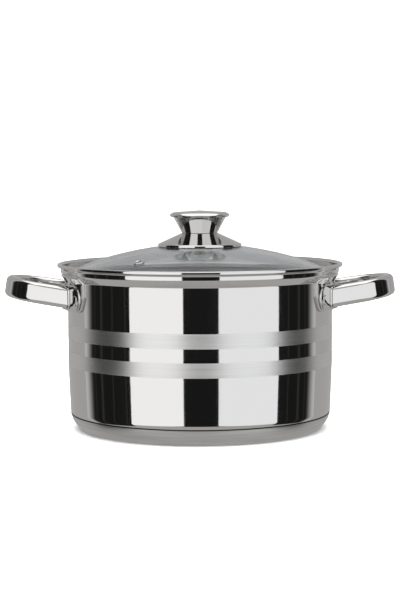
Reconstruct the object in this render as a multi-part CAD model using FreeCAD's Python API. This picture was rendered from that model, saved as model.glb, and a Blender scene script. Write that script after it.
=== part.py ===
"""Two-handled steel casserole, 24 cm, with a domed glass lid.

Millimetres, +Z up.  The origin is the centre of the flat underside, and the two loop
handles lie along X.  Each separate physical piece is written to parts/NODE.step.
"""
import math
import os

import FreeCAD
import Part

V = FreeCAD.Vector
UP = V(0, 0, 1)

# ---- pot -----------------------------------------------------------------------------
WALL_R = 120.1            # outside of the straight wall (24 cm pot)
WALL = 1.0                # sheet thickness
SHELL_BOTTOM = 8.9        # underside of the deep-drawn shell
FOOT_R = 118.1            # where the slightly tapered lower wall meets the floor line
TAPER_TOP = 58.0          # the taper runs out at this height
CORNER_R = 9.5            # outside radius between wall and floor
STEP_Z = 135.4            # foot of the 45 degree step below the neck
NECK_R = 126.2            # outside of the neck
LIP_R = 129.5             # outside of the rolled lip
LIP_TOP = 150.0
CAPSULE_RIM_R = 118.2     # top edge of the base capsule
CAPSULE_RIM_Z = 14.35
CAPSULE_T = 0.8

# ---- handles -------------------------------------------------------------------------
TILT = 9.0                # the loops rise outward by this angle
ROOT_X = 118.0
ROOT_Z = 121.0            # height of the loop's centre line at the wall
LOOP_END_X = 171.7        # centre line at the outer end
END_R = 36.0              # centre-line radius of the loop's round end
SPLAY = 6.0               # each arm leans this many degrees towards the end
TUBE_H = 19.0
TUBE_T = 10.0
TUBE_CORNER = 4.6
TUBE_WALL = 1.2
PLATE_T = 2.4             # bracket plate that hugs the wall
PLATE_HALF_Y = 67.6
PLATE_LOW = 108.8
PLATE_LIP_R = 126.1       # the plate's top is bent out under the step
PLATE_LIP_Z = 139.3
PAD_T = 1.2               # oval pad round each arm's root
PAD_LOW = 109.0
PAD_HIGH = 132.6
PAD_ROUND = 11.0
PAD_NEAR_Y = 24.0
PAD_FAR_Y = 64.0
COLLAR_T = 1.3
COLLAR_END_X = 125.5      # collar's mouth at its inner side
COLLAR_SLANT = 33.0       # the mouth leans back with the wall by this angle
FIT = 0.05                # gap between pieces that are welded or seated on each other

# ---- lid -----------------------------------------------------------------------------
DOME_R = 310.0            # outside of the glass
DOME_TOP = 166.6
GLASS_T = 4.0
GLASS_R = 119.3
BAND_R = 121.0
SCREW_HOLE_R = 4.0
VENT_HOLE_R = 3.6
VENT_X = -52.9
VENT_Y = -70.0
FLANGE_R = 37.9           # skirt at the foot of the knob
CAP_R = 27.5              # disc on top of the knob
WAIST_R = 16.0
WAIST_Z = 176.4
CONE_TOP_R = 23.7
CONE_TOP_Z = 191.0

DOME_CENTRE = V(0, 0, DOME_TOP - DOME_R)


def rounded_wire(corners):
    """Closed wire in the XZ plane from (x, z, radius) corners, each rounded by an arc."""
    edges = []
    count = len(corners)
    starts = []
    ends = []
    arcs = []
    for i, (x, z, radius) in enumerate(corners):
        here = V(x, 0, z)
        before = V(corners[i - 1][0], 0, corners[i - 1][1])
        after = V(corners[(i + 1) % count][0], 0, corners[(i + 1) % count][1])
        to_before = (before - here).normalize()
        to_after = (after - here).normalize()
        if radius <= 0:
            starts.append(here)
            ends.append(here)
            arcs.append(None)
            continue
        half = math.acos(max(-1.0, min(1.0, to_before.dot(to_after)))) / 2
        reach = radius / math.tan(half)
        bisector = (to_before + to_after).normalize()
        middle = here + bisector * (radius / math.sin(half) - radius)
        starts.append(here + to_before * reach)
        ends.append(here + to_after * reach)
        arcs.append(middle)
    for i in range(count):
        if arcs[i] is not None:
            edges.append(Part.Arc(starts[i], arcs[i], ends[i]).toShape())
        following = starts[(i + 1) % count]
        if (following - ends[i]).Length > 1e-6:
            edges.append(Part.LineSegment(ends[i], following).toShape())
    return Part.Wire(edges)


def turned(corners):
    """Solid made by turning a rounded profile in the XZ plane about the Z axis."""
    return Part.Face(rounded_wire(corners)).revolve(V(0, 0, 0), UP, 360)


def ball(radius):
    """Sphere about the centre of the glass dome."""
    return Part.makeSphere(radius, DOME_CENTRE, UP, -90, 90, 360)


def cylinder(radius, low, high):
    return Part.makeCylinder(radius, high - low, V(0, 0, low), UP)


def export(shape, name):
    shape.exportStep("parts/" + name + ".step")


# ---- pot -----------------------------------------------------------------------------
def pot_shell():
    """Floor, wall, step, neck and rolled lip, drawn from one sheet."""
    slope = (NECK_R - WALL_R)
    inner_wall = WALL_R - WALL
    inner_neck = NECK_R - WALL
    inner_step = STEP_Z + WALL * (math.sqrt(2) - 1)
    return turned([
        (0, SHELL_BOTTOM, 0),
        (FOOT_R, SHELL_BOTTOM, CORNER_R),
        (WALL_R, TAPER_TOP, 300),
        (WALL_R, STEP_Z, 1.2),
        (NECK_R, STEP_Z + slope, 1.8),
        (NECK_R, LIP_TOP - 4.4, 1.2),
        (LIP_R - 0.1, LIP_TOP - 3.1, 0.8),
        (LIP_R, LIP_TOP - 0.7, 0.9),
        (LIP_R - 2.0, LIP_TOP, 1.0),
        (inner_neck, LIP_TOP - 1.8, 2.0),
        (inner_neck, inner_step + slope, 0.8),
        (inner_wall, inner_step, 2.2),
        (inner_wall, TAPER_TOP, 299),
        (FOOT_R - WALL, SHELL_BOTTOM + WALL, CORNER_R - WALL),
        (0, SHELL_BOTTOM + WALL, 0),
    ])


def capsule_side(inset):
    """Arc of the base capsule's side: low, middle and top point, moved in by inset."""
    low = V(109.6 - inset, 0, 0.9 + 0.3 * inset)
    middle = V(113.6 - 0.9 * inset, 0, 4.8 + 0.4 * inset)
    top = V(CAPSULE_RIM_R - inset, 0, CAPSULE_RIM_Z)
    return low, middle, top


def base_capsule():
    """Pressed steel cup that closes the aluminium core against the shell."""
    low, middle, top = capsule_side(0)
    low_in, middle_in, top_in = capsule_side(CAPSULE_T - 0.25)
    outer_flat = V(107.8, 0, 0)
    inner_flat = V(107.6, 0, CAPSULE_T)
    corner = V(108.9, 0, 0.25)
    edges = [
        Part.LineSegment(V(0, 0, 0), outer_flat).toShape(),
        Part.Arc(outer_flat, corner, low).toShape(),
        Part.Arc(low, middle, top).toShape(),
        Part.LineSegment(top, top_in).toShape(),
        Part.Arc(top_in, middle_in, low_in).toShape(),
        Part.LineSegment(low_in, inner_flat).toShape(),
        Part.LineSegment(inner_flat, V(0, 0, CAPSULE_T)).toShape(),
        Part.LineSegment(V(0, 0, CAPSULE_T), V(0, 0, 0)).toShape(),
    ]
    return Part.Face(Part.Wire(edges)).revolve(V(0, 0, 0), UP, 360)


def base_core():
    """Aluminium disc that spreads the heat, filling the capsule under the shell."""
    low, middle, top = capsule_side(CAPSULE_T - 0.25 + 0.1)
    wedge = [
        Part.LineSegment(V(0, 0, CAPSULE_T + FIT), V(107.5, 0, CAPSULE_T + FIT)).toShape(),
        Part.LineSegment(V(107.5, 0, CAPSULE_T + FIT), low).toShape(),
        Part.Arc(low, middle, top).toShape(),
        Part.LineSegment(top, V(0, 0, CAPSULE_RIM_Z)).toShape(),
        Part.LineSegment(V(0, 0, CAPSULE_RIM_Z), V(0, 0, CAPSULE_T + FIT)).toShape(),
    ]
    blank = Part.Face(Part.Wire(wedge)).revolve(V(0, 0, 0), UP, 360)
    room_for_shell = turned([
        (0, SHELL_BOTTOM - FIT, 0),
        (FOOT_R + FIT, SHELL_BOTTOM - FIT, CORNER_R),
        (FOOT_R + 1.4, TAPER_TOP / 2, 0),
        (0, TAPER_TOP / 2, 0),
    ])
    return blank.cut(room_for_shell).cut(cylinder(130, 12.2, 20))


# ---- handles -------------------------------------------------------------------------
def tube_section(grow):
    """Rounded oblong face of the handle tube, upright in the YZ plane, grown all round."""
    t = TUBE_T / 2 + grow
    h = TUBE_H / 2 + grow
    r = TUBE_CORNER + grow
    wire = rounded_wire([(-t, -h, r), (t, -h, r), (t, h, r), (-t, h, r)])
    face = Part.Face(wire)
    face.rotate(V(0, 0, 0), UP, 90)
    return face


def loop_frame(shape):
    """Tilt a shape from the loop's own flat plane into its place on the +X side."""
    shape.rotate(V(0, 0, 0), V(0, 1, 0), -TILT)
    shape.translate(V(0, 0, ROOT_Z - ROOT_X * math.tan(math.radians(TILT))))
    return shape


def loop_layout():
    """Centre of the round end and the point where each arm starts on it."""
    end_u = LOOP_END_X / math.cos(math.radians(TILT))
    centre_u = end_u - END_R
    splay = math.radians(SPLAY)
    start = V(centre_u + END_R * math.sin(splay), END_R * math.cos(splay), 0)
    return centre_u, start


def arm(grow, length, side):
    """Straight arm of the loop, running from the round end back towards the wall."""
    centre_u, start = loop_layout()
    splay = math.radians(SPLAY)
    section = tube_section(grow)
    section.rotate(V(0, 0, 0), UP, -side * SPLAY)
    section.translate(V(start.x, side * start.y, 0))
    return section.extrude(V(-math.cos(splay), side * math.sin(splay), 0) * length)


def round_end(grow):
    """Round outer end of the loop."""
    centre_u, start = loop_layout()
    section = tube_section(grow)
    section.rotate(V(0, 0, 0), UP, SPLAY)
    section.translate(V(start.x, -start.y, 0))
    return section.revolve(V(centre_u, 0, 0), UP, 180 - 2 * SPLAY)


def wall_cut():
    """Everything inside the outer face of the pads."""
    return cylinder(WALL_R + PLATE_T + PAD_T + 3 * FIT, 60, 180)


def handle_loop():
    """Hollow oblong tube bent into a loop, cut to sit on the curved bracket plate."""
    outer = arm(0, 40, 1).fuse([round_end(0), arm(0, 40, -1)]).removeSplitter()
    inner = arm(-TUBE_WALL, 41, 1).fuse([round_end(-TUBE_WALL), arm(-TUBE_WALL, 41, -1)])
    return loop_frame(outer.cut(inner.removeSplitter())).cut(wall_cut())


def handle_collars():
    """Two collars, one round the root of each arm, their mouths leaning with the wall."""
    rings = []
    for side in (1, -1):
        limit = Part.makeBox(100, 200, 200, V(COLLAR_END_X, -100, 60))
        limit.rotate(V(COLLAR_END_X, side * 31, 0), UP, side * COLLAR_SLANT)
        ring = arm(COLLAR_T, 40, side).cut(arm(FIT, 41, side))
        rings.append(loop_frame(ring).cut(wall_cut()).cut(limit))
    return Part.makeCompound([solid for ring in rings for solid in ring.Solids])


def wall_patch(corners, inner, outer):
    """Piece of a ring round the pot, seen from the side as a rounded (y, z) outline."""
    blank = Part.Face(rounded_wire(corners))
    blank.rotate(V(0, 0, 0), UP, 90)
    ring = cylinder(outer, 90, 150).cut(cylinder(inner, 89, 151))
    return ring.common(blank.extrude(V(150, 0, 0)))


def softened(shape, outer, radius):
    """Round the outer rim of a wall patch."""
    rim = [edge for edge in shape.Edges if edge_radius(edge) > outer - 0.1]
    return shape.makeFillet(radius, rim)


def handle_bracket():
    """Plate welded to the wall, its top bent outward to follow the step."""
    inner = WALL_R + FIT
    outer = inner + PLATE_T
    ring = turned([
        (inner, PLATE_LOW - 2, 0),
        (outer, PLATE_LOW - 2, 0),
        (outer, STEP_Z - 0.6, 3.0),
        (PLATE_LIP_R, PLATE_LIP_Z, 0.6),
        (PLATE_LIP_R - 0.9, PLATE_LIP_Z + 1.08, 0),
        (inner, STEP_Z - 0.07, 1.4),
    ])
    ring.rotate(V(0, 0, 0), UP, 180)      # its seam lies outside the plate
    blank = Part.Face(rounded_wire([
        (-61.5, PLATE_LOW, 8.0),
        (61.5, PLATE_LOW, 8.0),
        (PLATE_HALF_Y, 123.0, 10.0),
        (PLATE_HALF_Y, 150.0, 0),
        (-PLATE_HALF_Y, 150.0, 0),
        (-PLATE_HALF_Y, 123.0, 10.0),
    ]))
    blank.rotate(V(0, 0, 0), UP, 90)
    return ring.common(blank.extrude(V(150, 0, 0)))


def handle_pads():
    """Two oval pads on the bracket, one under the root of each arm."""
    low = WALL_R + FIT + PLATE_T + FIT
    pads = []
    for side in (1, -1):
        ys = sorted((side * PAD_NEAR_Y, side * PAD_FAR_Y))
        corners = [(ys[0], PAD_LOW), (ys[1], PAD_LOW), (ys[1], PAD_HIGH), (ys[0], PAD_HIGH)]
        pad = wall_patch([(y, z, PAD_ROUND) for y, z in corners], low, low + PAD_T)
        pads.append(softened(pad, low + PAD_T, 0.8))
    return Part.makeCompound(pads)


def edge_radius(edge):
    """Smallest distance from the Z axis over a few points of an edge."""
    points = edge.discretize(5)
    return min(math.hypot(point.x, point.y) for point in points)


def left(shape):
    """The same piece on the other side of the pot."""
    copy = shape.copy()
    copy.rotate(V(0, 0, 0), UP, 180)
    return copy


# ---- lid -----------------------------------------------------------------------------
def vent_frame(shape):
    """Move a piece built on the Z axis to the vent, square to the glass."""
    radial = math.hypot(VENT_X, VENT_Y)
    lean = math.degrees(math.asin(radial / DOME_R))
    shape.translate(V(0, 0, DOME_TOP))
    shape.rotate(DOME_CENTRE, V(-VENT_Y, VENT_X, 0), lean)
    return shape


def lid_glass():
    """Tempered glass dome with a centre hole and a steam vent hole."""
    dome = ball(DOME_R).cut(ball(DOME_R - GLASS_T)).common(cylinder(GLASS_R, 120, 170))
    hole = cylinder(SCREW_HOLE_R, 150, 170)
    vent = vent_frame(cylinder(VENT_HOLE_R, -8, 4))
    return dome.cut(hole).cut(vent)


def lid_rim_band():
    """Steel band folded round the edge of the glass; its underside rests on the step."""
    return turned([
        (115.8, 144.25, 0),
        (115.8, 144.95, 0.3),
        (119.6, 143.65, 0.9),
        (BAND_R, 142.7, 0.9),
        (BAND_R, 138.3, 0.5),
        (120.0, 137.35, 0.4),
        (116.5, 137.35, 0.2),
        (116.5, 138.2, 0.2),
        (119.5, 138.2, 0),
        (119.5, 142.8, 0),
    ])


def vent_eyelet():
    """Steel eyelet: outer flange, tube through the glass, and rolled inner flange."""
    body = turned([
        (2.3, -5.0, 0.2),
        (4.8, -5.0, 0.3),
        (4.8, -GLASS_T - 0.08, 0),
        (3.5, -GLASS_T - 0.08, 0),
        (3.5, 0.02, 0),
        (5.1, 0.02, 0.1),
        (5.1, 0.8, 0.5),
        (3.0, 1.2, 0.4),
        (2.3, 0.5, 0.4),
    ])
    return vent_frame(body)


def knob_gasket_upper():
    """Silicone washer between the knob and the glass."""
    washer = cylinder(13, DOME_TOP - 0.6, 168.2).cut(cylinder(2.8, 160, 170))
    return washer.cut(ball(DOME_R + 0.02))


def knob_insert():
    """Steel bush inside the knob; it clamps skirt and cone and takes the screw."""
    return turned([
        (2.55, 168.22, 0),
        (12.0, 168.22, 0.4),
        (12.0, 175.35, 0.3),
        (7.9, 175.35, 0),
        (7.9, 177.32, 0),
        (9.8, 177.32, 0.2),
        (9.8, 179.3, 0.8),
        (2.55, 179.3, 0.3),
    ])


def knob_flange():
    """Spun skirt at the foot of the knob, with a short upright rim."""
    return turned([
        (7.95, 175.4, 0),
        (15.6, 175.4, 1.0),
        (36.4, 165.7, 0.6),
        (36.9, 164.6, 0.2),
        (FLANGE_R, 164.55, 0.3),
        (FLANGE_R, 166.7, 1.2),
        (WAIST_R + 0.6, WAIST_Z, 1.5),
        (7.95, WAIST_Z, 0),
    ])


def knob_cone():
    """Hollow grip that widens upward, with its closed floor on the skirt."""
    floor = WAIST_Z + 0.02
    return turned([
        (7.95, floor, 0),
        (WAIST_R, floor, 0.6),
        (CONE_TOP_R, CONE_TOP_Z, 0),
        (CONE_TOP_R - 0.95, CONE_TOP_Z, 0),
        (WAIST_R - 0.6, floor + 0.85, 0.3),
        (7.95, floor + 0.85, 0),
    ])


def knob_cap():
    """Domed disc that closes the top, with a spigot inside the cone and a bead below."""
    return turned([
        (0, 189.4, 0),
        (21.6, 189.4, 0.5),
        (22.4, 191.05, 0),
        (25.6, 191.05, 0.5),
        (CAP_R, 192.7, 0.5),
        (24.8, 195.3, 6.0),
        (0, 197.0, 0),
    ])


def knob_gasket_lower():
    """Silicone washer under the glass."""
    return turned([(2.8, 160.95, 0), (11.5, 160.95, 0.3), (11.5, 162.33, 0.3), (2.8, 162.33, 0)])


def knob_washer():
    """Steel washer under the silicone one."""
    return turned([(2.8, 159.9, 0), (12.5, 159.9, 0.3), (12.5, 160.93, 0.3), (2.8, 160.93, 0)])


def knob_screw():
    """M5 pan-head screw from inside the lid up into the knob, with a cross recess."""
    body = turned([
        (0, 156.6, 0),
        (5.0, 156.6, 1.6),
        (5.0, 159.87, 0.2),
        (2.5, 159.87, 0),
        (2.5, 178.4, 0.5),
        (0, 178.4, 0),
    ])
    for length, width in ((5.4, 1.1), (1.1, 5.4)):
        slot = Part.makeBox(length, width, 1.6, V(-length / 2, -width / 2, 156.0))
        body = body.cut(slot)
    return body


def main():
    os.makedirs("parts", exist_ok=True)
    export(pot_shell(), "pot_shell")
    export(base_core(), "base_core")
    export(base_capsule(), "base_capsule")
    for name, piece in (
        ("handle_loop", handle_loop()),
        ("handle_bracket", handle_bracket()),
        ("handle_pads", handle_pads()),
        ("handle_collars", handle_collars()),
    ):
        export(piece, "right_" + name)
        export(left(piece), "left_" + name)
    export(lid_glass(), "lid_glass")
    export(lid_rim_band(), "lid_rim_band")
    export(vent_eyelet(), "vent_eyelet")
    export(knob_cap(), "knob_cap")
    export(knob_cone(), "knob_cone")
    export(knob_flange(), "knob_flange")
    export(knob_insert(), "knob_insert")
    export(knob_gasket_upper(), "knob_gasket_upper")
    export(knob_gasket_lower(), "knob_gasket_lower")
    export(knob_washer(), "knob_washer")
    export(knob_screw(), "knob_screw")


main()
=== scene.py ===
"""Looks for the two-handled steel casserole with a domed glass lid.

Shapes are worked out in millimetres, in the part's own frame: +Z up, origin at the centre
of the underside, handles along X.  Every visible metal piece is a smooth surface that
stands for its CAD node; the small hidden pieces keep their CAD shape and get a finish.
"""
import math

import bpy
import numpy as np
from mathutils import Matrix


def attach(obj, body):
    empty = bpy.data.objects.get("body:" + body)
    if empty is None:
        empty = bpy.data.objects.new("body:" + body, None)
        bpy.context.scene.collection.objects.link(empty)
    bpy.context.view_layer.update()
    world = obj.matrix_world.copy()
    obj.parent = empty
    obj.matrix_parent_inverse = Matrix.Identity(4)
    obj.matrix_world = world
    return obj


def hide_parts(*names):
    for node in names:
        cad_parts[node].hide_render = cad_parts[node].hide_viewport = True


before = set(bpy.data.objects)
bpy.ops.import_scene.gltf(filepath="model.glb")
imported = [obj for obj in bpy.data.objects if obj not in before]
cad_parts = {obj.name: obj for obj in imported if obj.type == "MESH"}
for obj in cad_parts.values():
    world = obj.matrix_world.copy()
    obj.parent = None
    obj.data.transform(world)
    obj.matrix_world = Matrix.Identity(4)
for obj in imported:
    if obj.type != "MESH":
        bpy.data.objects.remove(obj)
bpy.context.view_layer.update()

MM = 0.001
FIT = 0.05                    # gap between pieces that are welded or seated
WALL_R = 120.1                # outside of the straight wall
PLATE_IN = WALL_R + FIT       # bracket plate, inner and outer face
PLATE_OUT = PLATE_IN + 2.4
PLATE_BEND = 134.0            # height where the plate starts to bend outward
PLATE_BEND_RUN = 7.4          # length of plate above that, counted like a height
PAD_IN = PLATE_OUT + FIT      # oval pads on the plate
PAD_OUT = PAD_IN + 1.2
ROOT_R = PAD_OUT + FIT        # the arms end on this cylinder
TILT = math.radians(9.0)      # the loops rise outward
SPLAY = math.radians(6.0)
END_R = 36.0
LOOP_CENTRE = 171.7 / math.cos(TILT) - END_R
LOOP_RISE = 121.0 - 118.0 * math.tan(TILT)
DOME_R = 310.0
DOME_TOP = 166.6
VENT = (-52.9, -70.0)
BRUSHED_BANDS = ((58.9, 71.7), (83.6, 96.4))


# ---- surfaces ------------------------------------------------------------------------
def rounded(corners, gap=4.0):
    """Outline of a polygon of (a, b, radius) corners.

    Each corner gives way to an arc of its own radius that touches both of its sides, a
    point on it being the weighted sum of the arc's two end directions.  Sides longer than
    1 mm get points every gap millimetres and one close to each arc, which keeps the
    shading of the flat part flat.  An outline that starts and ends on the axis stays open.
    """
    spots = np.array([corner[:2] for corner in corners], float)
    back = np.roll(spots, 1, 0) - spots
    ahead = np.roll(spots, -1, 0) - spots
    back /= np.linalg.norm(back, axis=1)[:, None]
    ahead /= np.linalg.norm(ahead, axis=1)[:, None]
    arcs = []
    for spot, one, other, corner in zip(spots, back, ahead, corners):
        radius = corner[2]
        if radius == 0:
            arcs.append(spot[None])
            continue
        half = math.acos(float(np.clip(one @ other, -1, 1))) / 2
        turn = math.pi - 2 * half
        middle = (one + other) / np.linalg.norm(one + other)
        centre = spot + middle * radius / math.sin(half)
        first = spot + one * radius / math.tan(half) - centre
        last = spot + other * radius / math.tan(half) - centre
        steps = max(4, math.ceil(turn / math.radians(6)), math.ceil(turn * radius / gap))
        t = np.linspace(0, 1, steps + 1)[:, None]
        blend = np.sin((1 - t) * turn) * first + np.sin(t * turn) * last
        arcs.append(centre + blend / math.sin(turn))
    outline = []
    is_open = corners[0][0] == 0 and corners[-1][0] == 0
    for i, arc in enumerate(arcs):
        outline.append(arc)
        if is_open and i == len(arcs) - 1:
            break
        start, end = arc[-1], arcs[(i + 1) % len(arcs)][0]
        length = float(np.linalg.norm(end - start))
        if length > 1:
            even = np.linspace(0, 1, math.ceil(length / gap) + 1)[1:-1]
            t = np.unique(np.concatenate([[0.2 / length, 1 - 0.2 / length], even]))[:, None]
            outline.append(start + t * (end - start))
    return np.vstack(outline)


def arc_through(a, b, c, steps):
    """Points on the circle through three points: centre from the two bisectors, then even angles."""
    a, b, c = (np.array(p, float) for p in (a, b, c))
    sides = 2 * np.array([b - a, c - a])
    centre = np.linalg.solve(sides, np.array([b @ b - a @ a, c @ c - a @ a]))
    angles = np.unwrap([math.atan2(*(p - centre)[::-1]) for p in (a, b, c)])
    t = np.linspace(angles[0], angles[2], steps)
    return centre + np.linalg.norm(a - centre) * np.stack([np.cos(t), np.sin(t)], -1)


def turned(profile, steps=384):
    """Grid of a turned surface: (r, z) of the profile and angle a give (r cos a, r sin a, z)."""
    a = np.linspace(0, 2 * math.pi, steps, endpoint=False)
    r, z = profile[:, :1], profile[:, 1:]
    return np.stack([r * np.cos(a), r * np.sin(a), z + 0 * a], -1)


def skin(name, *grids):
    """Mesh object of closed sheets, each a grid of points (row, column, xyz) in millimetres.

    Columns join round.  Rows join round too, unless the end rows are single points, which
    become tips with triangles.  A sheet whose enclosed volume, the sum of corner products
    of its faces, comes out negative is turned the right way out.
    """
    points, triangles, quads = [], [], []
    count = 0
    for grid in grids:
        rows, columns = grid.shape[:2]
        index = np.arange(rows * columns).reshape(rows, columns)
        tipped = np.ptp(grid[0], axis=0).max() < 1e-9
        if tipped:
            index[0], index[-1] = index[0, 0], index[-1, 0]
            ring = index
        else:
            ring = np.vstack([index, index[:1]])
        a, b = ring[:-1], ring[1:]
        four = np.stack([a, np.roll(a, -1, 1), np.roll(b, -1, 1), b], -1)
        three = np.zeros((0, 3), int)
        if tipped:
            three = np.vstack([four[0][:, [0, 2, 3]], four[-1][:, [0, 1, 2]]])
            four = four[1:-1]
        four = four.reshape(-1, 4)
        flat = grid.reshape(-1, 3)
        fans = np.vstack([three, four[:, :3], four[:, [0, 2, 3]]])
        p, q, r = flat[fans[:, 0]], flat[fans[:, 1]], flat[fans[:, 2]]
        if np.einsum("ij,ij->", p, np.cross(q, r)) < 0:
            three, four = three[:, ::-1], four[:, ::-1]
        points.append(flat)
        triangles.append(three + count)
        quads.append(four + count)
        count += len(flat)
    points, triangles, quads = np.vstack(points), np.vstack(triangles), np.vstack(quads)
    used, loops = np.unique(np.concatenate([quads.ravel(), triangles.ravel()]), return_inverse=True)
    sizes = np.repeat([4, 3], [len(quads), len(triangles)])
    mesh = bpy.data.meshes.new(name)
    mesh.vertices.add(len(used))
    mesh.vertices.foreach_set("co", (points[used] * MM).astype(np.float32).ravel())
    mesh.loops.add(len(loops))
    mesh.loops.foreach_set("vertex_index", loops.astype(np.int32).ravel())
    mesh.polygons.add(len(sizes))
    starts = np.concatenate([[0], np.cumsum(sizes)[:-1]])
    mesh.polygons.foreach_set("loop_start", starts.astype(np.int32))
    mesh.update(calc_edges=True)
    mesh.polygons.foreach_set("use_smooth", np.ones(len(sizes), bool))
    mesh.validate()
    piece = bpy.data.objects.new(name, mesh)
    bpy.context.scene.collection.objects.link(piece)
    return piece


def dress(piece, body, node, slot, *materials):
    """Puts a piece on its body, in its CAD node's place, with its finish."""
    for material in materials:
        piece.data.materials.append(material)
    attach(piece, body)
    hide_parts(node)
    return piece


# ---- finishes ------------------------------------------------------------------------
def linear(colour):
    """sRGB hex to linear RGBA."""
    parts = np.array([int(colour[i:i + 2], 16) / 255 for i in (1, 3, 5)])
    return (*np.where(parts <= 0.04045, parts / 12.92, ((parts + 0.055) / 1.055) ** 2.4), 1.0)


def add(tree, kind, inputs=None, **settings):
    """Adds a node, sets its properties, and fills or links its sockets."""
    node = tree.nodes.new(kind)
    for key, value in settings.items():
        setattr(node, key, value)
    for key, value in (inputs or {}).items():
        if isinstance(value, bpy.types.NodeSocket):
            tree.links.new(value, node.inputs[key])
        else:
            node.inputs[key].default_value = value
    return node


def blank_material(name):
    """New material with an empty node tree."""
    material = bpy.data.materials.new(name)
    material.use_nodes = True
    material.node_tree.nodes.clear()
    return material, material.node_tree


def finish_with(tree, shader):
    """Sends the shader to the surface."""
    add(tree, "ShaderNodeOutputMaterial", {"Surface": shader.outputs[0]})


def mirror_steel(name, colour, roughness, ripple):
    """Stainless steel, buffed to a mirror: sharp reflections that wander a little where the
    sheet is not quite flat (40 mm waves), under faint buffing haze in 3 mm streaks."""
    material, tree = blank_material(name)
    place = add(tree, "ShaderNodeTexCoord").outputs["Object"]
    waves = add(tree, "ShaderNodeTexNoise", {"Vector": place, "Scale": 25.0, "Detail": 1.0})
    stretched = add(tree, "ShaderNodeMapping", {"Vector": place, "Scale": (330.0, 330.0, 24.0)})
    haze = add(tree, "ShaderNodeTexNoise",
               {"Vector": stretched.outputs[0], "Scale": 1.0, "Detail": 3.0})
    polish = add(tree, "ShaderNodeMapRange",
                 {"Value": haze.outputs[0], "From Min": 0.35, "From Max": 0.75,
                  "To Min": roughness, "To Max": roughness * 2.2})
    bump = add(tree, "ShaderNodeBump",
               {"Height": waves.outputs[0], "Strength": 1.0, "Distance": ripple * MM})
    shader = add(tree, "ShaderNodeBsdfPrincipled",
                 {"Base Color": linear(colour), "Metallic": 1.0,
                  "Roughness": polish.outputs[0], "Normal": bump.outputs[0]})
    finish_with(tree, shader)
    return material


def brushed_steel(name, colour, roughness, around, spacing, contrast, seam=None):
    """Stainless steel, brushed round the pot: fine lines follow the wall and spread each
    reflection upward and downward, so that a dark stripe turns pale.  The real lines are
    0.1 mm apart; they are drawn at the given spacing so that they show.  Above the height
    of a seam the colour turns dark: painted shade of the narrow gap where the base meets the wall."""
    material, tree = blank_material(name)
    place = add(tree, "ShaderNodeTexCoord").outputs["Object"]
    fine = 1.0 / (spacing * MM)
    lines = add(tree, "ShaderNodeMapping", {"Vector": place, "Scale": (14.0, 14.0, fine)})
    grain = add(tree, "ShaderNodeTexNoise",
                {"Vector": lines.outputs[0], "Scale": 1.0, "Detail": 4.0, "Roughness": 0.6})
    tone = add(tree, "ShaderNodeMapRange",
               {"Value": grain.outputs[0], "From Min": 0.3, "From Max": 0.7,
                "To Min": 0.0, "To Max": 1.0})
    shade = add(tree, "ShaderNodeMix", {"Factor": tone.outputs[0]}, data_type="RGBA")
    dark = np.array(linear(colour)) * (contrast, contrast, contrast, 1)
    shade.inputs["A"].default_value = dark
    shade.inputs["B"].default_value = linear(colour)
    # painted shade: above the seam height the colour is mixed to dark, standing in for the shadow in
    # the gap between base and wall
    if seam:
        split = add(tree, "ShaderNodeSeparateXYZ", {"Vector": place})
        edge = add(tree, "ShaderNodeMapRange",
                   {"Value": split.outputs["Z"], "From Min": seam * MM,
                    "From Max": (seam + 0.15) * MM})
        steel = shade.outputs["Result"]
        shade = add(tree, "ShaderNodeMix", {"Factor": edge.outputs[0]}, data_type="RGBA")
        tree.links.new(steel, shade.inputs["A"])
        # colour of the painted seam shade
        shade.inputs["B"].default_value = linear("#3A3836")
    bump = add(tree, "ShaderNodeBump",
               {"Height": grain.outputs[0], "Strength": 0.25, "Distance": 0.02 * MM})
    flow = add(tree, "ShaderNodeTangent", direction_type="RADIAL", axis="Z")
    rough = add(tree, "ShaderNodeMapRange",
                {"Value": grain.outputs[0], "From Min": 0.3, "From Max": 0.7,
                 "To Min": roughness * 0.85, "To Max": roughness * 1.15})
    shader = add(tree, "ShaderNodeBsdfPrincipled",
                 {"Base Color": shade.outputs["Result"], "Metallic": 1.0,
                  "Roughness": rough.outputs[0], "Anisotropic": around,
                  "Anisotropic Rotation": 0.25, "Tangent": flow.outputs[0],
                  "Normal": bump.outputs[0]})
    finish_with(tree, shader)
    return material


def lid_glass():
    """Tempered soda-lime glass: clear, with a faint green body and slight roller waves
    about 60 mm long that bend what is seen through it."""
    material, tree = blank_material("tempered_glass")
    place = add(tree, "ShaderNodeTexCoord").outputs["Object"]
    waves = add(tree, "ShaderNodeTexNoise", {"Vector": place, "Scale": 16.0, "Detail": 0.0})
    bump = add(tree, "ShaderNodeBump",
               {"Height": waves.outputs[0], "Strength": 1.0, "Distance": 0.12 * MM})
    shader = add(tree, "ShaderNodeBsdfPrincipled",
                 {"Base Color": linear("#ECEEEE"), "Roughness": 0.0, "IOR": 1.5,
                  "Transmission Weight": 1.0, "Normal": bump.outputs[0]})
    finish_with(tree, shader)
    return material


def plain_metal(name, colour, roughness, grain_mm):
    """Rolled or turned metal that is mostly hidden: a grain that breaks up its sheen."""
    material, tree = blank_material(name)
    place = add(tree, "ShaderNodeTexCoord").outputs["Object"]
    grain = add(tree, "ShaderNodeTexNoise",
                {"Vector": place, "Scale": 1.0 / (grain_mm * MM), "Detail": 3.0})
    rough = add(tree, "ShaderNodeMapRange",
                {"Value": grain.outputs[0], "From Min": 0.3, "From Max": 0.7,
                 "To Min": roughness * 0.7, "To Max": roughness * 1.3})
    shader = add(tree, "ShaderNodeBsdfPrincipled",
                 {"Base Color": linear(colour), "Metallic": 1.0, "Roughness": rough.outputs[0]})
    finish_with(tree, shader)
    return material


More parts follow.
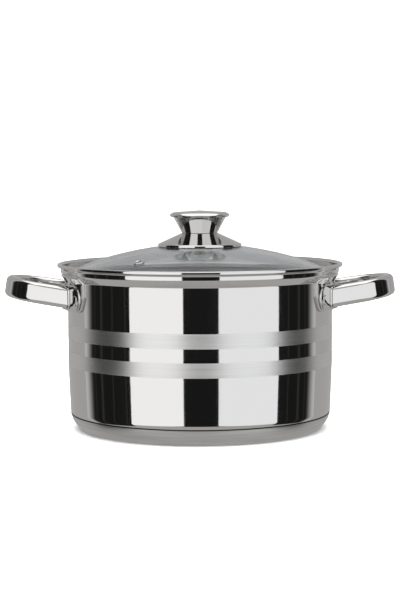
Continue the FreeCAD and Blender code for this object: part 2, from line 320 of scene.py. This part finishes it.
def silicone():
    """Moulded silicone rubber: matt, nearly black, with a dusty 1 mm mottle."""
    material, tree = blank_material("moulded_silicone")
    place = add(tree, "ShaderNodeTexCoord").outputs["Object"]
    dust = add(tree, "ShaderNodeTexNoise", {"Vector": place, "Scale": 1000.0, "Detail": 2.0})
    shade = add(tree, "ShaderNodeMix", {"Factor": dust.outputs[0]}, data_type="RGBA")
    shade.inputs["A"].default_value = linear("#26272A")
    shade.inputs["B"].default_value = linear("#35363A")
    shader = add(tree, "ShaderNodeBsdfPrincipled",
                 {"Base Color": shade.outputs["Result"], "Roughness": 0.62})
    finish_with(tree, shader)
    return material


STEEL = "#D8D7D6"
polished_wall = mirror_steel("polished_wall_steel", STEEL, 0.035, 0.05)
polished_fittings = mirror_steel("polished_fitting_steel", STEEL, 0.04, 0.02)
brushed_band = brushed_steel("brushed_band_steel", "#EDEDEC", 0.4, 0.6, 0.5, 0.86)
# 13.7 is the height above which the base is painted dark as shade of the seam's gap
turned_base = brushed_steel("turned_base_steel", "#DFE0E1", 0.34, 0.6, 1.6, 0.74, 13.7)
glass = lid_glass()
rolled_aluminium = plain_metal("rolled_aluminium", "#D2D3D6", 0.4, 0.8)
turned_steel = plain_metal("turned_bush_steel", "#B9B7B4", 0.3, 0.5)
rubber = silicone()


# ---- pot -----------------------------------------------------------------------------
def pot_shell():
    """Turned surface of the drawn shell; the two brushed bands are its rows between two
    heights, so that their edges are exact circles."""
    profile = rounded([
        (0, 8.9, 0), (118.1, 8.9, 9.5), (WALL_R, 58, 300), (WALL_R, 135.4, 1.2),
        (126.2, 141.5, 1.8), (126.2, 145.6, 1.2), (129.4, 146.9, 0.8), (129.5, 149.3, 0.9),
        (127.5, 150, 1.0), (125.2, 148.2, 2.0), (125.2, 141.9, 0.8), (119.1, 135.8, 2.2),
        (119.1, 58, 299), (117.1, 9.9, 8.5), (0, 9.9, 0),
    ])
    outer = int(np.argmax(profile[:, 1] > 130))
    for height in np.ravel(BRUSHED_BANDS):
        at = int(np.argmax(profile[:outer, 1] > height))
        before, after = profile[at - 1], profile[at]
        t = (height - before[1]) / (after[1] - before[1])
        profile = np.insert(profile, at, before + t * (after - before), axis=0)
        outer += 1
    piece = skin("drawn_shell", turned(profile))
    centres = np.empty(len(piece.data.polygons) * 3)
    piece.data.polygons.foreach_get("center", centres)
    x, y, z = (centres.reshape(-1, 3) / MM).T
    outside = np.hypot(x, y) > WALL_R - 0.6
    in_band = sum((z > low) & (z < high) for low, high in BRUSHED_BANDS) > 0
    piece.data.materials.append(polished_wall)
    piece.data.materials.append(brushed_band)
    piece.data.polygons.foreach_set("material_index", (outside & in_band).astype(np.int32))
    return piece


def base_capsule():
    """Turned cup: flat underside, a small bend, and the long arc of its side, then the
    same line back 0.55 mm further in."""
    flat = np.stack([np.linspace(0, 107.8, 28), np.zeros(28)], -1)
    bend = arc_through((107.8, 0), (108.9, 0.25), (109.6, 0.9), 8)
    side = arc_through((109.6, 0.9), (113.6, 4.8), (118.2, 14.35), 28)
    inner = arc_through((117.65, 14.35), (113.105, 5.02), (109.05, 1.065), 16)
    floor = np.stack([np.linspace(107.6, 0, 12), np.full(12, 0.8)], -1)
    return skin("base_cup", turned(np.vstack([flat, bend[1:], side[1:], inner, floor])))


# ---- handles -------------------------------------------------------------------------
def tube_section(grow):
    """Rounded oblong of the handle tube as (across, up), grown all round."""
    t, h, r = 5 + grow, 9.5 + grow, 4.6 + grow
    return rounded([(-t, -h, r), (t, -h, r), (t, h, r), (-t, h, r)], gap=1.5).T


def loop_place(u, v, up):
    """Turns the loop's own plane up by its tilt and lifts it to its height."""
    return np.stack([u * math.cos(TILT) - up * math.sin(TILT), v,
                     LOOP_RISE + u * math.sin(TILT) + up * math.cos(TILT)], -1)


def arm_start(section, side):
    """Section where an arm leaves the round end, and the arm's inward direction."""
    across, up = section
    u = LOOP_CENTRE + (END_R + across) * math.sin(SPLAY)
    v = side * (END_R + across) * math.cos(SPLAY)
    step = loop_place(np.array(-math.cos(SPLAY)), np.array(side * math.sin(SPLAY)), np.array(0.0))
    step = step - np.array([0, 0, LOOP_RISE])
    return loop_place(u, v, up), step


def reach_root(start, step):
    """Distance along the arm at which each line meets the pads' cylinder: the smaller
    root of (x + s dx)^2 + (y + s dy)^2 = R^2."""
    a = step[0] ** 2 + step[1] ** 2
    b = 2 * (start[:, 0] * step[0] + start[:, 1] * step[1])
    c = start[:, 0] ** 2 + start[:, 1] ** 2 - ROOT_R ** 2
    return (-b - np.sqrt(b * b - 4 * a * c)) / (2 * a)


def tube_rows(grow):
    """Rows of the loop's surface: section lines slid along one arm, turned through the
    round end (angle a puts across w at radius END_R + w), and slid along the other arm."""
    across, up = section = tube_section(grow)
    slide = np.concatenate([[1, 0.99], np.linspace(0.95, 0.05, 12)])[:, None, None]
    rows = []
    for side in (1, -1):
        start, step = arm_start(section, side)
        reach = reach_root(start, step)[None, :, None]
        arm = start[None] + slide * reach * step
        rows.append(arm if side == 1 else arm[::-1])
    angle = np.linspace(math.pi / 2 - SPLAY, SPLAY - math.pi / 2, 73)[:, None]
    bend = loop_place(LOOP_CENTRE + (END_R + across) * np.cos(angle),
                      (END_R + across) * np.sin(angle), up + 0 * angle)
    return np.concatenate([rows[0], bend, rows[1]])


def mirrored(grid, side):
    """The same piece on the other side: a half turn about Z."""
    return grid * np.array([side, side, 1])


def handle_loop(side):
    """Hollow tube: outer rows out and round, then inner rows back."""
    grid = np.concatenate([tube_rows(0), tube_rows(-1.2)[::-1]])
    return skin(f"tube_loop_{'right' if side > 0 else 'left'}", mirrored(grid, side))


def handle_collars(side):
    """Ring round each arm: from the pad out to a mouth that leans back with the wall, its
    outer edge rounded, and back along the tube.  A line meets the mouth's plane where
    (x - 125.5) cos 33 + (|y| - 31) sin 33 is nothing."""
    lean = math.radians(33)
    rings = []
    for arm_side in (1, -1):
        rows = []
        for grow, place, shift in ((1.3, "root", 0), (1.3, "root", -0.15), (1.3, "mouth", 0.5),
                                   (1.24, "mouth", 0.26), (1.08, "mouth", 0.08),
                                   (0.8, "mouth", 0), (0.06, "mouth", 0), (0.06, "root", 0)):
            start, step = arm_start(tube_section(grow), arm_side)
            root = reach_root(start, step)
            off = ((start[:, 0] - 125.5) * math.cos(lean)
                   + (np.abs(start[:, 1]) - 31) * math.sin(lean))
            slope = -step[0] * math.cos(lean) - arm_side * step[1] * math.sin(lean)
            along = np.minimum(off / slope + shift, root) if place == "mouth" else root + shift
            rows.append(start + along[:, None] * step)
        rings.append(mirrored(np.array(rows), side))
    return skin(f"arm_collars_{'right' if side > 0 else 'left'}", *rings)


def wall_blister(y0, y1, z0, z1, corner, low, high, soft):
    """Rounded oblong wrapped on the wall: nested outlines in (y, z), each laid on a radius
    r so that x is the square root of r^2 - y^2; out along the back, up the side, over the
    rounded rim and in across the front."""
    rim = [(soft * (1 - math.cos(a)), high - soft + soft * math.sin(a), 1.0)
           for a in np.linspace(0, math.pi / 2, 8)]
    layers = [(0, low, k) for k in (0, 0.5, 0.9, 1)] + rim + [(soft + 0.1, high, 1.0)]
    layers += [(soft + 0.1, high, k) for k in (0.96, 0.9, 0.8, 0.65, 0.5, 0.35, 0.2, 0.1, 0)]
    middle = np.array([(y0 + y1) / 2, (z0 + z1) / 2])
    rows = []
    for inset, radius, scale in layers:
        a, b, c, d = y0 + inset, y1 - inset, z0 + inset, z1 - inset
        r = corner - inset
        outline = rounded([(a, c, r), (b, c, r), (b, d, r), (a, d, r)], gap=1.5)
        y, z = (middle + scale * (outline - middle)).T
        rows.append(np.stack([np.sqrt(radius ** 2 - y ** 2), y, z], -1))
    return np.array(rows)


def handle_pads(side):
    """Two oval pads on the bracket, each with a small raised pip beyond its arm."""
    grids = []
    for arm_side in (1, -1):
        y0, y1 = sorted((arm_side * 24.0, arm_side * 64.0))
        grids.append(wall_blister(y0, y1, 109.0, 132.6, 11.0, PAD_IN, PAD_OUT, 0.8))
        y = arm_side * 57.6
        grids.append(wall_blister(y - 2.8, y + 2.8, 114.4, 124.2, 2.7, PAD_OUT - 0.4,
                                  PAD_OUT + 0.7, 0.65))
    return skin(f"root_pads_{'right' if side > 0 else 'left'}",
                *[mirrored(grid, side) for grid in grids])


def plate_line(radius, knee, knee_radius, tip):
    """One face of the plate in section above PLATE_BEND: up at its radius to the knee, an
    arc there, and out to the tip."""
    line = rounded([(0, 100, 0), (radius, PLATE_BEND, 0), (radius, knee, knee_radius),
                    (*tip, 0), (0, 150, 0)], gap=0.5)[1:-1]
    on_plate = (line[:, 0] > WALL_R - 1.1) & (line[:, 1] >= PLATE_BEND)
    return line[on_plate & (line[:, 1] < tip[1] + 0.01)]


def along_plate(line, s):
    """Radius and height at s: straight below PLATE_BEND, by share of length in the bend."""
    run = np.concatenate([[0], np.cumsum(np.linalg.norm(np.diff(line, axis=0), axis=1))])
    share = np.clip((s - PLATE_BEND) / PLATE_BEND_RUN, 0, 1) * run[-1]
    r = np.interp(share, run, line[:, 0])
    z = np.where(s < PLATE_BEND, s, np.interp(share, run, line[:, 1]))
    return r, z


def handle_bracket(side):
    """Plate along the wall with its top bent out under the step.

    Each row is a closed loop at one height s along the plate: across the front, round the
    rounded end edges and back behind.  A share t of the thickness lies between back line
    and front line, and x is the square root of r^2 - y^2.  The lowest and the highest row
    are drawn in to their middle point, which lies inside the wall.
    """
    back = plate_line(PLATE_IN, 135.33, 1.4, (125.2, 140.38))
    front = plate_line(PLATE_OUT, 134.8, 3.0, (126.1, 139.3))
    outline = rounded([(-61.5, 108.8, 8), (61.5, 108.8, 8), (67.6, 123, 10),
                       (67.6, 150, 0), (-67.6, 150, 0), (-67.6, 123, 10)], gap=1.0)
    right = outline[(outline[:, 0] > 40) & (outline[:, 1] < 149)]
    right = right[np.argsort(right[:, 1], kind="stable")]
    top = PLATE_BEND + PLATE_BEND_RUN
    levels = [(108.8, 0.0), (108.8, 0.75), (108.9, 0.93), (109.2, 1.0)]
    levels += [(s, 1.0) for s in np.linspace(110, PLATE_BEND, 22)[:-1]]
    levels += [(s, 1.0) for s in np.linspace(PLATE_BEND, top - 0.5, 20)]
    levels += [(top - 0.15, 0.9), (top, 0.7), (top, 0.0)]
    span = np.concatenate([[-1, -0.997], np.linspace(-0.98, 0.98, 71), [0.997, 1]])
    rows = []
    for s, thick in levels:
        half = float(np.interp(s, right[:, 1], np.maximum.accumulate(right[:, 0])))
        y = np.concatenate([span * (half - 0.6), [half - 0.18, half], span[::-1] * half,
                            [-half, 0.18 - half]])
        t = np.concatenate([np.ones(len(span)), [0.93, 0.75], np.zeros(len(span)),
                            [0.75, 0.93]]) * thick
        r_back, z_back = along_plate(back, s)
        r_front, z_front = along_plate(front, s)
        r = r_back + t * (r_front - r_back)
        z = z_back + t * (z_front - z_back)
        rows.append(np.stack([np.sqrt(r ** 2 - y ** 2), y, z], -1))
    grid = np.array(rows)
    grid[0], grid[-1] = grid[0].mean(0), grid[-1].mean(0)
    return skin(f"wall_bracket_{'right' if side > 0 else 'left'}", mirrored(grid, side))


# ---- lid -----------------------------------------------------------------------------
def glass_dome():
    """Turned shell between two spheres with one centre, its rim and centre hole cut
    straight: height is the centre's height plus the root of R^2 - r^2."""
    centre = DOME_TOP - DOME_R
    out = np.linspace(119.0, 4.3, 90)
    back = np.linspace(4.3, 119.0, 90)
    outer = np.stack([out, centre + np.sqrt(DOME_R ** 2 - out ** 2)], -1)
    inner = np.stack([back, centre + np.sqrt((DOME_R - 4) ** 2 - back ** 2)], -1)
    hole_top, hole_low = outer[-1, 1] - 0.3, inner[0, 1] + 0.3
    rim_low, rim_top = inner[-1, 1] + 0.3, outer[0, 1] - 0.3
    profile = np.vstack([outer, [(4.0, hole_top), (4.0, hole_low)], inner,
                         [(119.3, rim_low), (119.3, rim_top)]])
    return skin("glass_dome", turned(profile))


def rim_band():
    """Turned surface of the folded band."""
    return skin("lid_band", turned(rounded([
        (115.8, 144.25, 0.1), (115.8, 144.95, 0.3), (119.6, 143.65, 0.9), (121.0, 142.7, 0.9),
        (121.0, 138.3, 0.5), (120.0, 137.35, 0.4), (116.5, 137.35, 0.2), (116.5, 138.2, 0.2),
        (119.5, 138.2, 0.1), (119.5, 142.8, 0.1)])))


def vent_eyelet():
    """Turned eyelet, leaned with the dome about the dome's centre."""
    grid = turned(rounded([
        (2.3, -5.0, 0.2), (4.8, -5.0, 0.3), (4.8, -4.08, 0.05), (3.5, -4.08, 0.05),
        (3.5, 0.02, 0.05), (5.1, 0.02, 0.1), (5.1, 0.8, 0.5), (3.0, 1.2, 0.4),
        (2.3, 0.5, 0.4)], gap=1.0), 96)
    lean = math.asin(math.hypot(*VENT) / DOME_R)
    turn = np.array(Matrix.Rotation(lean, 3, (-VENT[1], VENT[0], 0)))
    return skin("steam_vent", (grid + [0, 0, DOME_R]) @ turn.T + [0, 0, DOME_TOP - DOME_R])


def knob_flange():
    """Turned skirt with a rolled foot."""
    return skin("knob_skirt", turned(rounded([
        (7.95, 175.4, 0.1), (15.6, 175.4, 1.0), (36.4, 165.7, 0.6), (36.9, 164.6, 0.2),
        (37.9, 164.55, 0.3), (37.9, 166.7, 1.2), (16.6, 176.4, 1.5), (7.95, 176.4, 0.1)],
        gap=1.5), 288))


def knob_cone():
    """Turned hollow grip, open at the top."""
    return skin("knob_grip", turned(rounded([
        (7.95, 176.42, 0.1), (16.0, 176.42, 0.6), (23.7, 191.0, 0.1), (22.75, 191.0, 0.1),
        (15.4, 177.27, 0.3), (7.95, 177.27, 0.1)], gap=1.5), 288))


def knob_cap():
    """Turned disc, domed above, with the bead and spigot that sit in the grip."""
    return skin("knob_disc", turned(rounded([
        (0, 189.4, 0), (21.6, 189.4, 0.5), (22.4, 191.05, 0.1), (25.6, 191.05, 0.5),
        (27.5, 192.7, 0.5), (24.8, 195.3, 6.0), (0, 197.0, 0)], gap=1.5), 288))


dress(pot_shell(), "pot", "pot_shell", "polished_steel")
dress(base_capsule(), "pot", "base_capsule", "satin_steel", turned_base)
for side, word in ((1, "right"), (-1, "left")):
    for make, part in ((handle_loop, "loop"), (handle_bracket, "bracket"),
                       (handle_pads, "pads"), (handle_collars, "collars")):
        dress(make(side), "pot", f"{word}_handle_{part}", "polished_steel", polished_fittings)
dress(glass_dome(), "lid", "lid_glass", "lid_glass", glass)
for make, node in ((rim_band, "lid_rim_band"), (vent_eyelet, "vent_eyelet"),
                   (knob_flange, "knob_flange"), (knob_cone, "knob_cone"),
                   (knob_cap, "knob_cap")):
    dress(make(), "lid", node, "polished_steel", polished_fittings)

for node, material in (
    ("base_core", rolled_aluminium), ("knob_insert", turned_steel),
    ("knob_washer", turned_steel), ("knob_screw", turned_steel),
    ("knob_gasket_upper", rubber), ("knob_gasket_lower", rubber),
):
    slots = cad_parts[node].data.materials
    slots.clear()
    slots.append(material)


# ---- studio --------------------------------------------------------------------------
def glow(name, colour, strength):
    """Even light of a diffusing cloth."""
    material, tree = blank_material(name)
    shader = add(tree, "ShaderNodeEmission", {"Color": linear(colour), "Strength": strength})
    finish_with(tree, shader)
    return material


def card(name, start, end, low, high, material):
    """Upright sheet between two points of the plan, from one height to another.  It is
    there to be mirrored in the steel, and hides nothing from any side."""
    (x0, y0), (x1, y1) = start, end
    mesh = bpy.data.meshes.new(name)
    mesh.from_pydata([(x0, y0, low), (x1, y1, low), (x1, y1, high), (x0, y0, high)],
                     [], [(0, 1, 2, 3)])
    mesh.materials.append(material)
    sheet = bpy.data.objects.new(name, mesh)
    bpy.context.scene.collection.objects.link(sheet)
    sheet.visible_camera = sheet.visible_transmission = sheet.visible_shadow = False
    return sheet


def flag_cloth(side):
    """Black cloth at the side, with faint upright folds, whose far end fades into the pale
    room behind."""
    material, tree = blank_material("flag_cloth_" + side)
    place = add(tree, "ShaderNodeTexCoord").outputs["Object"]
    split = add(tree, "ShaderNodeSeparateXYZ", {"Vector": place})
    fade = add(tree, "ShaderNodeMapRange",
               {"Value": split.outputs["Y"], "From Min": 0.16, "From Max": 0.40,
                "To Min": 0.012, "To Max": 0.6}, interpolation_type="SMOOTHSTEP")
    hang = add(tree, "ShaderNodeMapping", {"Vector": place, "Scale": (0.0, 14.0, 0.3)})
    folds = add(tree, "ShaderNodeTexNoise",
                {"Vector": hang.outputs[0], "Detail": 2.0, "Scale": 1.0})
    sheen = add(tree, "ShaderNodeMapRange",
                {"Value": folds.outputs[0], "From Min": 0.52, "From Max": 0.75,
                 "To Min": 0.0, "To Max": 0.045})
    both = add(tree, "ShaderNodeMath", {0: fade.outputs[0], 1: sheen.outputs[0]},
               operation="ADD")
    shader = add(tree, "ShaderNodeEmission",
                 {"Color": linear("#FFFDFA"), "Strength": both.outputs[0]})
    finish_with(tree, shader)
    return material


def pale_floor():
    """Painted white board, matt, with a barely visible mottle."""
    material, tree = blank_material("painted_board")
    place = add(tree, "ShaderNodeTexCoord").outputs["Object"]
    mottle = add(tree, "ShaderNodeTexNoise", {"Vector": place, "Scale": 3.0, "Detail": 2.0})
    shade = add(tree, "ShaderNodeMix", {"Factor": mottle.outputs[0]}, data_type="RGBA")
    shade.inputs["A"].default_value = linear("#F6F6F5")
    shade.inputs["B"].default_value = linear("#FBFBFA")
    shader = add(tree, "ShaderNodeBsdfDiffuse", {"Color": shade.outputs["Result"]})
    finish_with(tree, shader)
    return material


def plan(degrees, away):
    """Point of the floor plan at (d sin a, -d cos a): a degrees round from the front."""
    a = math.radians(degrees)
    return away * math.sin(a), -away * math.cos(a)


def floor_board():
    """Board that the pot stands on; the steel mirrors the room instead of it."""
    mesh = bpy.data.meshes.new("floor")
    low = -0.4 * MM
    mesh.from_pydata([(-4, -4, low), (4, -4, low), (4, 4, low), (-4, 4, low)],
                     [], [(0, 1, 2, 3)])
    mesh.materials.append(pale_floor())
    floor = bpy.data.objects.new("floor", mesh)
    bpy.context.scene.collection.objects.link(floor)
    floor.visible_glossy = floor.visible_transmission = False


def reflectors():
    """Two softboxes with black cloth between and beside them, and light above the middle
    cloth: the wall mirrors them as upright stripes."""
    left_cloth = glow("softbox_left", "#FFFFFF", 1.22)
    right_cloth = glow("softbox_right", "#FCFDFF", 1.12)
    left_edge, right_edge = plan(-59, 1.10), plan(66.8, 1.105)
    card("softbox_left", plan(-13.7, 1.42), left_edge, -0.36, 1.0, left_cloth)
    card("softbox_right", plan(14.9, 1.42), right_edge, -0.36, 1.0, right_cloth)
    card("flag_left", left_edge, (-1.012, 0.42), -0.6, 1.5, flag_cloth("left"))
    card("flag_right", right_edge, (1.012, 0.42), -0.6, 1.5, flag_cloth("right"))
    ends = (-0.75, -1.8), (0.75, -1.8)
    card("flag_front", *ends, -0.6, 0.24, glow("black_cloth", "#FFFFFF", 0.012))
    card("softbox_front", *ends, 0.24, 1.3, left_cloth)


def backdrops():
    """White paper on four sides, and grey paper that only the glass lets through."""
    paper = glow("paper_backdrop", "#FFFFFF", 1.3)
    grey_paper = glow("grey_paper_behind_glass", "#C9CBCD", 1.0)
    corners = [(-3.2, -3.2), (-3.2, 3.2), (3.2, 3.2), (3.2, -3.2), (-3.2, -3.2)]
    for word, start, end in zip(("left", "back", "right", "front"), corners, corners[1:]):
        wall = card("backdrop_" + word, start, end, -0.1, 3.0, paper)
        wall.visible_camera = True
        wall.visible_glossy = False
        behind = card("glass_backdrop_" + word, start, end, -1.5, 3.0, grey_paper)
        behind.visible_transmission = True
        behind.visible_glossy = False


def overhead(name, place, width, depth, power):
    """Rectangular softbox that hangs level and shines down."""
    lamp = bpy.data.lights.new(name, "AREA")
    lamp.shape = "RECTANGLE"
    lamp.size = width
    lamp.size_y = depth
    lamp.energy = power
    hung = bpy.data.objects.new(name, lamp)
    hung.location = place
    bpy.context.scene.collection.objects.link(hung)
    return hung


def room():
    """Grey room that the steel mirrors wherever no cloth or lamp stands, a shade warmer
    below than above."""
    world = bpy.data.worlds.new("room")
    world.use_nodes = True
    tree = world.node_tree
    tree.nodes.clear()
    way = add(tree, "ShaderNodeTexCoord").outputs["Generated"]
    height = add(tree, "ShaderNodeSeparateXYZ", {"Vector": way})
    rise = add(tree, "ShaderNodeMapRange",
               {"Value": height.outputs["Z"], "From Min": -0.5, "From Max": 0.1})
    tone = add(tree, "ShaderNodeMix", {"Factor": rise.outputs[0]}, data_type="RGBA")
    tone.inputs["A"].default_value = linear("#B7B5B2")
    tone.inputs["B"].default_value = linear("#B3B2B2")
    sky = add(tree, "ShaderNodeBackground", {"Color": tone.outputs["Result"], "Strength": 1.0})
    add(tree, "ShaderNodeOutputWorld", {"Surface": sky.outputs[0]})
    bpy.context.scene.world = world


def camera():
    """1.5 m in front, a little above the knob, looking slightly down and rolled by a
    quarter of a degree."""
    lens = bpy.data.cameras.new("camera")
    lens.lens = 99.0
    lens.sensor_width = 36.0
    lens.clip_start = 0.05
    seen_from = bpy.data.objects.new("camera", lens)
    bpy.context.scene.collection.objects.link(seen_from)
    seen_from.matrix_world = (Matrix.Translation((0, -1.498, 0.2406))
                              @ Matrix.Rotation(math.radians(90 - 4.779), 4, "X")
                              @ Matrix.Rotation(math.radians(-0.25), 4, "Z"))
    bpy.context.scene.camera = seen_from


floor_board()
reflectors()
backdrops()
overhead("top_softbox", (0, 0.1, 1.5), 1.6, 1.6, 9.0)
floor_lamp = overhead("floor_fill", (0, 1.0, 2.6), 5.0, 6.0, 330.0)
floor_lamp.visible_glossy = floor_lamp.visible_transmission = False
room()
bpy.context.scene.view_settings.view_transform = "Standard"
camera()
